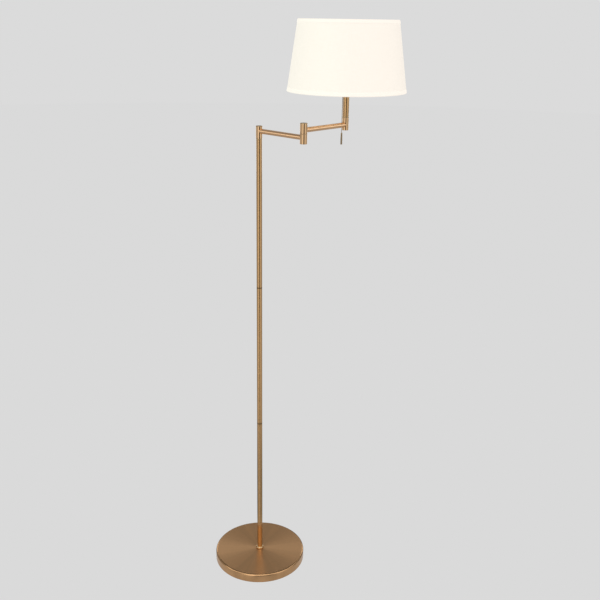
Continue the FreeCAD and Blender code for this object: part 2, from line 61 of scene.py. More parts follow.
level = Vector((1, 0, 0))
ahead = Vector((0, cos(CAMERA_PITCH), -sin(CAMERA_PITCH)))
upward = level.cross(ahead)
turn = Matrix((
    level * cos(CAMERA_ROLL) + upward * sin(CAMERA_ROLL),
    upward * cos(CAMERA_ROLL) - level * sin(CAMERA_ROLL),
    -ahead,
)).transposed()
camera = bpy.data.objects.new("camera", bpy.data.cameras.new("camera"))
camera.data.sensor_width = 36
camera.data.lens = LENS_MM
camera.data.clip_start = 0.01
camera.matrix_world = Matrix.Translation(CAMERA_AT) @ turn.to_4x4()
scene.collection.objects.link(camera)
scene.camera = camera
scene.view_settings.view_transform = "Standard"


def hang_soft_box(name, at, aim, width, height, watts, warmth=(1, 1, 1)):
    lamp = bpy.data.lights.new(name, "AREA")
    lamp.shape = "RECTANGLE"
    lamp.size = width
    lamp.size_y = height
    lamp.energy = watts
    lamp.color = warmth
    box = bpy.data.objects.new(name, lamp)
    box.location = at
    box.rotation_euler = (Vector(aim) - Vector(at)).to_track_quat("-Z", "Y").to_euler()
    box.visible_camera = False
    scene.collection.objects.link(box)


DAYLIGHT = (1.0, 0.98, 0.95)
hang_soft_box("front_box", (0.1, -2.6, 2.3), (0.1, 0, 1.0), 2.2, 1.2, 8, DAYLIGHT)
hang_soft_box("left_box", (-1.9, -0.1, 1.5), (0, 0, 1.3), 0.7, 0.7, 1.8, DAYLIGHT)
hang_soft_box("right_box", (2.1, 0.25, 1.5), (0.1, 0, 1.3), 0.7, 0.7, 2.0)
hang_soft_box("rear_left_box", (-1.15, 1.9, 1.1), (0, 0, 0.1), 0.6, 0.8, 2.4)
hang_soft_box("rear_right_box", (1.15, 1.9, 1.1), (0, 0, 0.1), 0.6, 0.8, 2.4)


def math_step(tree, operation, first, second=None):
    """One arithmetic node; each input is a socket or a plain number."""
    step = tree.nodes.new("ShaderNodeMath")
    step.operation = operation
    for socket, value in zip(step.inputs, (first, second)):
        if isinstance(value, bpy.types.NodeSocket):
            tree.links.new(value, socket)
        elif value is not None:
            socket.default_value = value
    return step.outputs["Value"]


def blend(tree, share, low, high, into_low, into_high):
    """Carry a value smoothly from one range into another."""
    reach = tree.nodes.new("ShaderNodeMapRange")
    reach.interpolation_type = "SMOOTHSTEP"
    ends = (("From Min", low), ("From Max", high), ("To Min", into_low), ("To Max", into_high))
    for name, value in ends:
        if isinstance(value, bpy.types.NodeSocket):
            tree.links.new(value, reach.inputs[name])
        else:
            reach.inputs[name].default_value = value
    tree.links.new(share, reach.inputs["Value"])
    return reach.outputs["Result"]


def place_of(tree, socket="Object"):
    """The shaded point's own X, Y and Z."""
    place = tree.nodes.new("ShaderNodeTexCoord")
    split = tree.nodes.new("ShaderNodeSeparateXYZ")
    tree.links.new(place.outputs[socket], split.inputs["Vector"])
    return split


def level_way(tree, split):
    """Seen from above: how far rightward and rearward a direction points, and its length."""
    along_x = math_step(tree, "MULTIPLY", split.outputs["X"], split.outputs["X"])
    along_y = math_step(tree, "MULTIPLY", split.outputs["Y"], split.outputs["Y"])
    reach = math_step(tree, "SQRT", math_step(tree, "ADD", along_x, along_y))
    rightward = math_step(tree, "DIVIDE", split.outputs["X"], reach)
    rearward = math_step(tree, "DIVIDE", split.outputs["Y"], reach)
    return rightward, rearward, reach


def front_panels(tree, rightward):
    """Upright pale and dark panels in front of the lamp, listed from its left to its right."""
    panels = tree.nodes.new("ShaderNodeValToRGB")
    panels.color_ramp.interpolation = "EASE"
    stops = panels.color_ramp.elements
    tones = ((-0.97, 0.50), (-0.86, 0.95), (-0.70, 0.25), (-0.62, 0.25), (-0.50, 1.45),
             (-0.22, 1.45), (-0.06, 0.08), (0.42, 0.08), (0.60, 0.90), (0.84, 1.00), (0.97, 0.50))
    for at, tone in tones[1:-1]:
        stops.new((at + 1) / 2)
    for stop, (at, tone) in zip(stops, tones):
        stop.position = (at + 1) / 2
        stop.color = (tone, tone, tone, 1)
    place = math_step(tree, "MULTIPLY", math_step(tree, "ADD", rightward, 1.0), 0.5)
    tree.links.new(place, panels.inputs["Fac"])
    return panels.outputs["Color"]


def build_room():
    """An even pale backdrop for the camera; panels, a canopy and a dim wall for reflections."""
    room = bpy.data.worlds.new("room")
    room.use_nodes = True
    tree = room.node_tree
    seen = tree.nodes["Background"]
    seen.inputs["Color"].default_value = (*PALE, 1)
    split = place_of(tree, "Generated")
    height = split.outputs["Z"]
    rightward, rearward, _ = level_way(tree, split)
    aside = math_step(tree, "ABSOLUTE", rightward)
    low_wall = blend(tree, height, 0.12, 0.32, 0.12, 1.0)
    behind = math_step(tree, "MULTIPLY", blend(tree, aside, 0.20, 0.80, 0.54, 0.42), low_wall)
    wall = blend(tree, rearward, -0.15, 0.10, front_panels(tree, rightward), behind)
    ceiling = blend(tree, height, 0.62, 0.80, 1.0, 0.05)
    canopy = math_step(tree, "MULTIPLY", blend(tree, height, 0.35, 0.45, 0.0, 1.1),
                       blend(tree, rearward, -0.10, 0.15, 1.0, 0.0))
    under_ceiling = math_step(tree, "MULTIPLY", wall, ceiling)
    mirrored = tree.nodes.new("ShaderNodeBackground")
    mirrored.inputs["Color"].default_value = BACKDROP
    tree.links.new(math_step(tree, "MAXIMUM", under_ceiling, canopy), mirrored.inputs["Strength"])
    rays = tree.nodes.new("ShaderNodeLightPath")
    mix = tree.nodes.new("ShaderNodeMixShader")
    tree.links.new(rays.outputs["Is Camera Ray"], mix.inputs["Fac"])
    tree.links.new(mirrored.outputs["Background"], mix.inputs[1])
    tree.links.new(seen.outputs["Background"], mix.inputs[2])
    tree.links.new(mix.outputs["Shader"], tree.nodes["World Output"].inputs["Surface"])
    scene.world = room


def lay_floor():
    """A round paper floor, pale as the room. Mirrored in the brass, it carries the panels on."""
    sheet = bmesh.new()
    bmesh.ops.create_circle(sheet, cap_ends=True, segments=128, radius=FLOOR_R)
    bmesh.ops.translate(sheet, vec=(0, 0, FLOOR_Z), verts=sheet.verts)
    mesh = bpy.data.meshes.new("floor")
    sheet.to_mesh(mesh)
    sheet.free()
    floor = bpy.data.objects.new("floor", mesh)
    scene.collection.objects.link(floor)
    paper = bpy.data.materials.new("floor_paper")
    paper.use_nodes = True
    tree = paper.node_tree
    matt = tree.nodes["Principled BSDF"]
    matt.inputs["Base Color"].default_value = (0.5, 0.5, 0.5, 1)
    matt.inputs["Roughness"].default_value = 0.9
    matt.inputs["Specular IOR Level"].default_value = 0.1
    pale = tree.nodes.new("ShaderNodeEmission")
    pale.inputs["Color"].default_value = (*PALE, 1)
    rays = tree.nodes.new("ShaderNodeLightPath")
    seen = math_step(tree, "MULTIPLY", rays.outputs["Is Camera Ray"], 0.98)
    to_eye = tree.nodes.new("ShaderNodeMixShader")
    tree.links.new(seen, to_eye.inputs["Fac"])
    tree.links.new(matt.outputs["BSDF"], to_eye.inputs[1])
    tree.links.new(pale.outputs["Emission"], to_eye.inputs[2])

    rightward, rearward, reach = level_way(tree, place_of(tree))
    front = math_step(tree, "MULTIPLY", front_panels(tree, rightward),
                      blend(tree, reach, 0.3, 1.5, 0.75, 1.0))
    rear = blend(tree, reach, 0.4, 0.9, 0.14, 0.50)
    far_floor = blend(tree, rearward, -0.15, 0.25, front, rear)
    near_base = blend(tree, reach, 0.14, 0.24, 0.56, far_floor)
    mirrored = tree.nodes.new("ShaderNodeEmission")
    mirrored.inputs["Color"].default_value = BACKDROP
    tree.links.new(near_base, mirrored.inputs["Strength"])
    to_brass = tree.nodes.new("ShaderNodeMixShader")
    tree.links.new(rays.outputs["Is Glossy Ray"], to_brass.inputs["Fac"])
    tree.links.new(to_eye.outputs["Shader"], to_brass.inputs[1])
    tree.links.new(mirrored.outputs["Emission"], to_brass.inputs[2])
    tree.links.new(to_brass.outputs["Shader"], tree.nodes["Material Output"].inputs["Surface"])
    mesh.materials.append(paper)


build_room()
lay_floor()


# --- pull cord and its weight -----------------------------------------------------------------
# A braided cord 1.4 mm thick hangs straight from the switch's guide, drawn tight by a slim
# turned brass weight. The cord is knotted inside the weight; both drop 8 mm when pulled.

SMOOTH_UP_TO = radians(24)


def shader_of(finish):
    return finish.node_tree.nodes["Principled BSDF"]


def new_finish(name, colour, roughness, metallic=0.0):
    """A material with one Principled shader, whose even values are set on the shader itself."""
    finish = bpy.data.materials.new(name)
    finish.use_nodes = True
    shader = shader_of(finish)
    shader.inputs["Base Color"].default_value = (*colour, 1)
    shader.inputs["Roughness"].default_value = roughness
    shader.inputs["Metallic"].default_value = metallic
    return finish


def grain(finish, size, turned_by=0.0, detail=2.0):
    """Noise whose grains have this size in metres along X, Y and Z, turned about Z."""
    tree = finish.node_tree
    place = tree.nodes.new("ShaderNodeTexCoord")
    stretch = tree.nodes.new("ShaderNodeMapping")
    stretch.vector_type = "TEXTURE"
    stretch.inputs["Rotation"].default_value = (0, 0, turned_by)
    stretch.inputs["Scale"].default_value = size
    noise = tree.nodes.new("ShaderNodeTexNoise")
    noise.inputs["Scale"].default_value = 1
    noise.inputs["Detail"].default_value = detail
    tree.links.new(place.outputs["Object"], stretch.inputs["Vector"])
    tree.links.new(stretch.outputs["Vector"], noise.inputs["Vector"])
    return noise.outputs["Fac"]


def tint(finish, pattern, dark, light, low=0.35, high=0.65):
    """Colour that goes from dark to light with a pattern."""
    tree = finish.node_tree
    ramp = tree.nodes.new("ShaderNodeValToRGB")
    ramp.color_ramp.elements[0].position = low
    ramp.color_ramp.elements[0].color = (*dark, 1)
    ramp.color_ramp.elements[1].position = high
    ramp.color_ramp.elements[1].color = (*light, 1)
    tree.links.new(pattern, ramp.inputs["Fac"])
    tree.links.new(ramp.outputs["Color"], shader_of(finish).inputs["Base Color"])
    return ramp.outputs["Color"]


def dull(finish, pattern, least, most):
    """Roughness between two values with a pattern."""
    tree = finish.node_tree
    reach = tree.nodes.new("ShaderNodeMapRange")
    reach.inputs["From Min"].default_value = 0.3
    reach.inputs["From Max"].default_value = 0.7
    reach.inputs["To Min"].default_value = least
    reach.inputs["To Max"].default_value = most
    tree.links.new(pattern, reach.inputs["Value"])
    tree.links.new(reach.outputs["Result"], shader_of(finish).inputs["Roughness"])


def relief(finish, pattern, depth):
    """Fine relief of this depth in metres."""
    tree = finish.node_tree
    bump = tree.nodes.new("ShaderNodeBump")
    bump.inputs["Strength"].default_value = 1.0
    bump.inputs["Distance"].default_value = depth
    tree.links.new(pattern, bump.inputs["Height"])
    tree.links.new(bump.outputs["Normal"], shader_of(finish).inputs["Normal"])


def shaded(colour, amount):
    return tuple(channel * amount for channel in colour)


def wear(node, finish):
    """Give a CAD piece its finish."""
    cad[node].material_slots[0].material = finish


def middle_of(node):
    low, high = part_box(node)
    return Vector(((low.x + high.x) / 2, (low.y + high.y) / 2, 0))


def piece_from(mesh_work, name, finish):
    """A finished object at the origin from a bmesh, smooth except along its real edges."""
    mesh = bpy.data.meshes.new(name)
    mesh_work.to_mesh(mesh)
    mesh_work.free()
    mesh.shade_smooth()
    mesh.set_sharp_from_angle(angle=SMOOTH_UP_TO)
    mesh.materials.append(finish)
    piece = bpy.data.objects.new(name, mesh)
    scene.collection.objects.link(piece)
    return piece


def turn_on_lathe(name, outline, axis, finish, closed=False, segments=96):
    """Spin an outline of (radius, height) points about a vertical axis."""
    work = bmesh.new()
    points = [work.verts.new((radius, 0, height)) for radius, height in outline]
    pairs = list(zip(points, points[1:])) + ([(points[-1], points[0])] if closed else [])
    lines = [work.edges.new(pair) for pair in pairs]
    bmesh.ops.spin(work, geom=points + lines, cent=(0, 0, 0), axis=(0, 0, 1), angle=tau,
                   steps=segments, use_merge=True)
    bmesh.ops.remove_doubles(work, verts=work.verts, dist=1e-7)
    bmesh.ops.recalc_face_normals(work, faces=work.faces)
    bmesh.ops.translate(work, vec=axis, verts=work.verts)
    return piece_from(work, name, finish)


CORD_THICK = 0.0014
cord_low, cord_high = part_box("pull_cord")
cord_at = middle_of("pull_cord")

cord_fabric = new_finish("pull_cord_braid", (0.40, 0.31, 0.20), 0.75)
braid = grain(cord_fabric, (0.0005, 0.0005, 0.0009))
tint(cord_fabric, braid, (0.24, 0.18, 0.11), (0.50, 0.40, 0.27))
relief(cord_fabric, braid, 0.0002)

line = bpy.data.curves.new("pull_line", "CURVE")
line.dimensions = "3D"
line.bevel_depth = CORD_THICK / 2
line.bevel_resolution = 4
line.use_fill_caps = True
strand = line.splines.new("NURBS")
cord_heights = (cord_high.z, 1.372, 1.335, 1.298, 1.280, cord_low.z)
strand.points.add(len(cord_heights) - 1)
for point, height in zip(strand.points, cord_heights):
    point.co = (cord_at.x, cord_at.y, height, 1)
strand.order_u = 3
strand.use_endpoint_u = True
line.materials.append(cord_fabric)
pull_line = bpy.data.objects.new("pull_line", line)
scene.collection.objects.link(pull_line)
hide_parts("pull_cord")
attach(pull_line, "pull")

aged_brass = new_finish("pull_weight_brass", (0.36, 0.27, 0.16), 0.32, 1.0)
handling = grain(aged_brass, (0.004, 0.004, 0.003), detail=4)
tint(aged_brass, handling, (0.25, 0.19, 0.12), (0.44, 0.34, 0.21))
dull(aged_brass, grain(aged_brass, (0.006, 0.006, 0.0002)), 0.25, 0.45)

weight_low, weight_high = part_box("pull_weight")
weight_r = (weight_high.x - weight_low.x) / 2
tail, head = weight_low.z, weight_high.z
rounded_tail = [(0.0, tail), (0.0010, tail), (weight_r * 0.8, tail + 0.0003),
                (weight_r, tail + 0.0012)]
lower_groove = [(weight_r, tail + 0.0062), (weight_r * 0.9, tail + 0.0065),
                (weight_r * 0.9, tail + 0.0072), (weight_r, tail + 0.0075)]
neck_groove = [(weight_r * 0.93, head - 0.0075), (weight_r * 0.74, head - 0.0071),
               (weight_r * 0.74, head - 0.0064), (weight_r * 0.9, head - 0.0060)]
rounded_head = [(weight_r * 0.86, head - 0.0020), (weight_r * 0.55, head - 0.0004),
                (CORD_THICK / 2 + 0.0001, head), (CORD_THICK / 2, head - 0.003)]
pull_drop = turn_on_lathe("pull_drop", rounded_tail + lower_groove + neck_groove + rounded_head,
                          Vector((cord_at.x, cord_at.y, 0)), aged_brass, segments=48)
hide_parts("pull_weight")
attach(pull_drop, "pull")


# --- base: felt, weight, bolt and terminals ---------------------------------------------------
# A cast-iron disc carries the lamp. A hollow threaded rod with a washer and a nut under the
# disc draws the pole down on it, and a pressed felt is glued over the whole underside.

iron = new_finish("base_iron", (0.06, 0.06, 0.065), 0.6, 0.4)
casting = grain(iron, (0.002, 0.002, 0.002), detail=6)
tint(iron, casting, (0.03, 0.03, 0.032), (0.09, 0.088, 0.085))
relief(iron, casting, 0.0004)
wear("base_weight", iron)

felt = new_finish("base_felt", (0.03, 0.028, 0.026), 0.95)
fibres = grain(felt, (0.0008, 0.0008, 0.0008), detail=8)
tint(felt, fibres, (0.018, 0.017, 0.016), (0.055, 0.05, 0.046))
relief(felt, fibres, 0.0005)
wear("base_pad", felt)

zinc = new_finish("zinc_plate", (0.62, 0.63, 0.64), 0.35, 1.0)
spangle = grain(zinc, (0.0015, 0.0015, 0.0015), detail=4)
tint(zinc, spangle, (0.50, 0.51, 0.53), (0.70, 0.70, 0.69))
dull(zinc, spangle, 0.25, 0.5)
for fastener in ("base_washer", "base_nut", "base_nipple", "elbow_stop_pin"):
    wear(fastener, zinc)

terminal_plastic = new_finish("terminal_plastic", (0.80, 0.78, 0.72), 0.4)
moulding = grain(terminal_plastic, (0.0006, 0.0006, 0.0006), detail=3)
tint(terminal_plastic, moulding, (0.74, 0.72, 0.66), (0.84, 0.82, 0.77))
relief(terminal_plastic, moulding, 0.00004)
wear("terminal_block", terminal_plastic)


# --- base: cover, inlet bush and foot ring ----------------------------------------------------
# The cover is a spun shell, brass plated and antiqued, brushed in rings on the lathe and
# lacquered. A rubber bush lines its rear cord hole. A bright rounded ring seats the pole.

EDGE_FROM = 0.1270
COVER_BRASS = (0.600, 0.362, 0.184)


def ring_grain(finish, pitch, swirl, detail=2.0):
    """Noise in rings about the Z axis: fine across the radius, long round the ring."""
    tree = finish.node_tree
    rightward, rearward, reach = level_way(tree, place_of(tree))
    lie = tree.nodes.new("ShaderNodeCombineXYZ")
    tree.links.new(math_step(tree, "MULTIPLY", rightward, swirl), lie.inputs["X"])
    tree.links.new(math_step(tree, "MULTIPLY", rearward, swirl), lie.inputs["Y"])
    tree.links.new(math_step(tree, "DIVIDE", reach, pitch), lie.inputs["Z"])
    noise = tree.nodes.new("ShaderNodeTexNoise")
    noise.inputs["Scale"].default_value = 1
    noise.inputs["Detail"].default_value = detail
    tree.links.new(lie.outputs["Vector"], noise.inputs["Vector"])
    return noise.outputs["Fac"]


def brushed_round(finish, amount):
    """Highlights that stretch across a brushing that runs round the Z axis."""
    tangent = finish.node_tree.nodes.new("ShaderNodeTangent")
    tangent.direction_type = "RADIAL"
    tangent.axis = "Z"
    shader = shader_of(finish)
    shader.inputs["Anisotropic"].default_value = amount
    shader.inputs["Anisotropic Rotation"].default_value = 0.25
    finish.node_tree.links.new(tangent.outputs["Tangent"], shader.inputs["Tangent"])


cover_brass = new_finish("base_cover_brass", COVER_BRASS, 0.28, 1.0)
cover_tree = cover_brass.node_tree
rings = ring_grain(cover_brass, 0.0006, 3.0, detail=3)
# painted highlight: noise that changes with the bearing only paints radial glint rays into the
# cover's colour, and also varies its roughness
painted_glint_rays = ring_grain(cover_brass, 1.0, 4.0, detail=3)      # changes with the bearing only
grain_and_glint_streaks = math_step(cover_tree, "ADD", math_step(cover_tree, "MULTIPLY", rings, 0.35),
                    math_step(cover_tree, "MULTIPLY", painted_glint_rays, 0.65))
tint(cover_brass, grain_and_glint_streaks, shaded(COVER_BRASS, 0.92), shaded(COVER_BRASS, 1.08), 0.38, 0.62)
satin = blend(cover_tree, painted_glint_rays, 0.35, 0.65, 0.36, 0.44)
_, _, out_to = level_way(cover_tree, place_of(cover_tree))
polished_edge = blend(cover_tree, out_to, EDGE_FROM, EDGE_FROM + 0.001, satin, 0.20)
cover_tree.links.new(polished_edge, shader_of(cover_brass).inputs["Roughness"])
relief(cover_brass, rings, 0.000004)
brushed_round(cover_brass, 0.65)
wear("base_cover", cover_brass)

bush_rubber = new_finish("bush_rubber", (0.02, 0.02, 0.02), 0.55)
bush_grain = grain(bush_rubber, (0.0006, 0.0006, 0.0006), detail=3)
tint(bush_rubber, bush_grain, (0.014, 0.014, 0.014), (0.032, 0.031, 0.030))
relief(bush_rubber, bush_grain, 0.00006)
wear("inlet_bush", bush_rubber)

bright_brass = new_finish("bright_brass", (0.72, 0.52, 0.30), 0.16, 1.0)
polish = grain(bright_brass, (0.003, 0.003, 0.0003), detail=3)
tint(bright_brass, polish, (0.62, 0.44, 0.25), (0.80, 0.60, 0.36))
dull(bright_brass, polish, 0.10, 0.24)
wear("foot_ring", bright_brass)


# --- pole -------------------------------------------------------------------------------------
# Three lengths of 15 mm tube, screwed end to end over turned joiners. The tube is brass plated,
# polished round its length and antiqued to a soft brown gold. Painted shade darkens each seam's
# groove.

POLE_BRASS = (0.580, 0.368, 0.178)
pole_brass = new_finish("pole_brass", POLE_BRASS, 0.26, 1.0)
pole_lines = grain(pole_brass, (0.02, 0.02, 0.0004), detail=3)
plating = tint(pole_brass, pole_lines, shaded(POLE_BRASS, 0.88), shaded(POLE_BRASS, 1.10))
pole_tree = pole_brass.node_tree
height = place_of(pole_tree).outputs["Z"]
seam_shade_share = 1.0
# painted shade: the plating colour is darkened in a thin band at each seam, where the groove
# between the tubes lies in shade
for seam in (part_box("pole_middle")[0].z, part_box("pole_middle")[1].z):
    off_seam = math_step(pole_tree, "ABSOLUTE", math_step(pole_tree, "SUBTRACT", height, seam))
    near_seam = blend(pole_tree, off_seam, 0.0006, 0.0034, 0.40, 1.0)
    seam_shade_share = math_step(pole_tree, "MULTIPLY", near_seam, seam_shade_share)
seam_shaded_plating = pole_tree.nodes.new("ShaderNodeVectorMath")
seam_shaded_plating.operation = "SCALE"
pole_tree.links.new(plating, seam_shaded_plating.inputs["Vector"])
pole_tree.links.new(seam_shade_share, seam_shaded_plating.inputs["Scale"])
pole_tree.links.new(seam_shaded_plating.outputs["Vector"], shader_of(pole_brass).inputs["Base Color"])
dull(pole_brass, grain(pole_brass, (0.05, 0.05, 0.012), detail=3), 0.14, 0.22)
relief(pole_brass, pole_lines, 0.000002)
for tube in ("pole_lower", "pole_middle", "pole_upper", "stem_tube"):
    wear(tube, pole_brass)

turned_brass = new_finish("turned_brass", (0.62, 0.48, 0.24), 0.30, 1.0)
tool_marks = grain(turned_brass, (0.01, 0.01, 0.00025), detail=2)
tint(turned_brass, tool_marks, (0.54, 0.41, 0.20), (0.70, 0.55, 0.29))
relief(turned_brass, tool_marks, 0.000008)
for insert in ("pole_foot_plug", "pole_lower_joiner", "pole_upper_joiner", "shoulder_post",
               "shoulder_ring_nut", "elbow_pivot", "elbow_ring_nut", "stem_post", "stem_ring_nut",
               "holder_nipple", "holder_contact", "holder_screw_shell"):
    wear(insert, turned_brass)


# --- arms, hubs and elbow ---------------------------------------------------------------------
# The arms are 12.5 mm tube, let into turned hubs and barrels and brazed. All are brass plated
# and polished brighter than the pole. Black nylon washers part the moving halves.

ARM_BRASS = (0.760, 0.490, 0.280)
inner_turn = atan2(middle_of("elbow_pivot").y, middle_of("elbow_pivot").x)
outer_run = middle_of("end_hub_cap") - middle_of("elbow_pivot")
outer_turn = atan2(outer_run.y, outer_run.x)
for node, turned_by in (("inner_arm_tube", inner_turn), ("outer_arm_tube", outer_turn)):
    arm_brass = new_finish(node + "_brass", ARM_BRASS, 0.2, 1.0)
    drawn = grain(arm_brass, (0.02, 0.0004, 0.0004), turned_by, detail=2)
    tint(arm_brass, drawn, shaded(ARM_BRASS, 0.90), shaded(ARM_BRASS, 1.08))
    dull(arm_brass, grain(arm_brass, (0.03, 0.006, 0.006), turned_by, detail=3), 0.08, 0.16)
    relief(arm_brass, drawn, 0.000001)
    wear(node, arm_brass)

HUB_BRASS = (0.720, 0.480, 0.268)
hub_brass = new_finish("hub_brass", HUB_BRASS, 0.2, 1.0)
hub_lines = grain(hub_brass, (0.012, 0.012, 0.0003), detail=2)
tint(hub_brass, hub_lines, shaded(HUB_BRASS, 0.90), shaded(HUB_BRASS, 1.08))
dull(hub_brass, grain(hub_brass, (0.008, 0.008, 0.004), detail=3), 0.05, 0.09)
relief(hub_brass, hub_lines, 0.000001)
for hub in ("shoulder_hub", "elbow_lower_barrel", "elbow_upper_barrel", "elbow_bottom_cap",
            "end_hub", "end_hub_cap"):
    wear(hub, hub_brass)

CAP_BRASS = (0.52, 0.37, 0.21)
satin_cap = new_finish("satin_cap_brass", CAP_BRASS, 0.42, 1.0)
cap_marks = grain(satin_cap, (0.0006, 0.0006, 0.0006), detail=3)
tint(satin_cap, cap_marks, shaded(CAP_BRASS, 0.9), shaded(CAP_BRASS, 1.1))
relief(satin_cap, cap_marks, 0.000006)
wear("shoulder_cap", satin_cap)
wear("elbow_top_cap", bright_brass)

nylon = new_finish("washer_nylon", (0.02, 0.02, 0.02), 0.5)
nylon_grain = grain(nylon, (0.0005, 0.0005, 0.0005))
tint(nylon, nylon_grain, (0.014, 0.014, 0.014), (0.03, 0.03, 0.03))
relief(nylon, nylon_grain, 0.00003)
for washer in ("shoulder_washer", "elbow_washer", "stem_washer"):
    wear(washer, nylon)

black_oxide = new_finish("stop_screw_black", (0.03, 0.03, 0.033), 0.4, 1.0)
oxide = grain(black_oxide, (0.0004, 0.0004, 0.0004))
tint(black_oxide, oxide, (0.02, 0.02, 0.022), (0.05, 0.05, 0.053))
dull(black_oxide, oxide, 0.3, 0.5)
for screw in ("shoulder_stop_screw", "end_hub_stop_screw"):
    wear(screw, black_oxide)


# --- lampholder and clamp rings ---------------------------------------------------------------
# A spun brass cup screws on the stem and holds a ceramic core. The threaded skirt carries two
# rings that clamp the shade's fitter between them.

holder_brass = new_finish("holder_brass", (0.50, 0.34, 0.18), 0.3, 1.0)
spinning = grain(holder_brass, (0.02, 0.02, 0.0005), detail=3)
tint(holder_brass, spinning, (0.43, 0.29, 0.15), (0.56, 0.39, 0.21))
dull(holder_brass, spinning, 0.24, 0.36)
for part in ("holder_cup", "pull_guide"):
    wear(part, holder_brass)

THREAD_PITCH = 0.0025
THREAD_DEEP = 0.0005
TURN_STEPS = 60
SKIRT_WALL = 0.0012
SKIRT_MOUTH_R = 0.0152
skirt_low, skirt_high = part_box("holder_skirt")
holder_at = middle_of("holder_skirt")
skirt_r = (skirt_high.x - skirt_low.x) / 2
root_r = skirt_r - THREAD_DEEP
wall_r = skirt_r - SKIRT_WALL
lip_z = skirt_high.z - SKIRT_WALL
skirt = turn_on_lathe("threaded_skirt", [
    (wall_r, skirt_low.z), (root_r, skirt_low.z), (root_r, lip_z),
    (root_r - 0.0006, skirt_high.z), (SKIRT_MOUTH_R, skirt_high.z), (SKIRT_MOUTH_R, lip_z),
    (wall_r, lip_z),
], holder_at, holder_brass, closed=True)

turns = int((skirt_high.z - skirt_low.z - 2 * THREAD_PITCH) / THREAD_PITCH)
start_z = skirt_low.z + THREAD_PITCH
sunk_r, crest_r = root_r - 0.0002, skirt_r - 0.00005
ridge = [(sunk_r, -0.44), (root_r, -0.44), (crest_r, -0.14), (crest_r, 0.14), (root_r, 0.44),
         (sunk_r, 0.44)]             # radius, and height in shares of the pitch
work = bmesh.new()
points = [work.verts.new((radius, 0, start_z + share * THREAD_PITCH)) for radius, share in ridge]
profile = work.faces.new(points)
bmesh.ops.spin(work, geom=[profile, *profile.edges, *points], cent=(0, 0, 0), axis=(0, 0, 1),
               dvec=(0, 0, THREAD_PITCH / TURN_STEPS), angle=tau * turns, steps=TURN_STEPS * turns)
bmesh.ops.recalc_face_normals(work, faces=work.faces)
bmesh.ops.translate(work, vec=holder_at, verts=work.verts)
thread = piece_from(work, "skirt_thread", holder_brass)
for piece in (skirt, thread):
    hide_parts("holder_skirt")
    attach(piece, "shade_stem")

RING_EDGE = 0.0007
KNURL_DEEP = 0.00035
KNURLS = 96
KNURL_SHARP = radians(30)
for node in ("shade_ring_lower", "shade_ring_upper"):
    low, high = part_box(node)
    rim = (high.x - low.x) / 2
    bore = skirt_r + 0.0001
    clamp = turn_on_lathe("knurled_" + node, [
        (bore, low.z), (rim - RING_EDGE, low.z), (rim, low.z + RING_EDGE),
        (rim, high.z - RING_EDGE), (rim - RING_EDGE, high.z), (bore, high.z),
    ], Vector((0, 0, 0)), holder_brass, closed=True, segments=KNURLS * 2)
    for corner in clamp.data.vertices:
        place = corner.co
        count = round(atan2(place.y, place.x) / tau * KNURLS * 2)
        if place.xy.length > rim - RING_EDGE / 2 and count % 2:
            place.xy *= 1 - KNURL_DEEP / rim
        place += holder_at
    clamp.data.set_sharp_from_angle(angle=KNURL_SHARP)
    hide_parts(node)
    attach(clamp, "shade_stem")

glaze = new_finish("ceramic_glaze", (0.85, 0.84, 0.80), 0.25)
specks = grain(glaze, (0.0012, 0.0012, 0.0012), detail=5)
tint(glaze, specks, (0.78, 0.77, 0.73), (0.88, 0.87, 0.84))
relief(glaze, specks, 0.00003)
wear("holder_core", glaze)

flex_sheath = new_finish("flex_sheath", (0.75, 0.74, 0.70), 0.45)
sheath = grain(flex_sheath, (0.002, 0.002, 0.002), detail=3)
tint(flex_sheath, sheath, (0.70, 0.69, 0.65), (0.79, 0.78, 0.75))
relief(flex_sheath, sheath, 0.00005)
for run in ("pole_flex", "inner_arm_flex", "outer_arm_flex", "stem_flex"):
    wear(run, flex_sheath)


# --- bulb -------------------------------------------------------------------------------------
# A standard screw bulb, lit: a frosted opal glass globe, blown in one piece and cemented on a
# rolled metal cap.


def light_up(finish, colour, strength):
    """Let a finish glow; colour and strength are plain values or patterns."""
    for name, value in (("Emission Color", colour), ("Emission Strength", strength)):
        if isinstance(value, bpy.types.NodeSocket):
            finish.node_tree.links.new(value, shader_of(finish).inputs[name])
        else:
            shader_of(finish).inputs[name].default_value = value


opal = new_finish("bulb_opal", (0.95, 0.92, 0.85), 0.25)
milk = grain(opal, (0.01, 0.01, 0.01), detail=2)
tint(opal, milk, (0.93, 0.89, 0.81), (0.97, 0.94, 0.88))
light_up(opal, (1.0, 0.86, 0.66, 1), 1.3)
wear("bulb_glass", opal)

cap_metal = new_finish("bulb_cap_metal", (0.78, 0.78, 0.77), 0.3, 1.0)
rolled = grain(cap_metal, (0.004, 0.004, 0.0004))
tint(cap_metal, rolled, (0.70, 0.70, 0.69), (0.84, 0.84, 0.83))
dull(cap_metal, rolled, 0.22, 0.38)
wear("bulb_cap", cap_metal)


# --- shade: wires and liner -------------------------------------------------------------------
# White dipped wire makes the top ring, the bottom ring with three spokes, and the flat fitter.
# A stiff white liner sheet is rolled into the cone and glued to the rings.

dipped = new_finish("shade_wire_white", (0.86, 0.85, 0.81), 0.4)
dip = grain(dipped, (0.003, 0.003, 0.003), detail=4)
tint(dipped, dip, (0.80, 0.79, 0.75), (0.89, 0.88, 0.85))
relief(dipped, dip, 0.0001)
for part in ("shade_top_wire", "shade_spider"):
    wear(part, dipped)

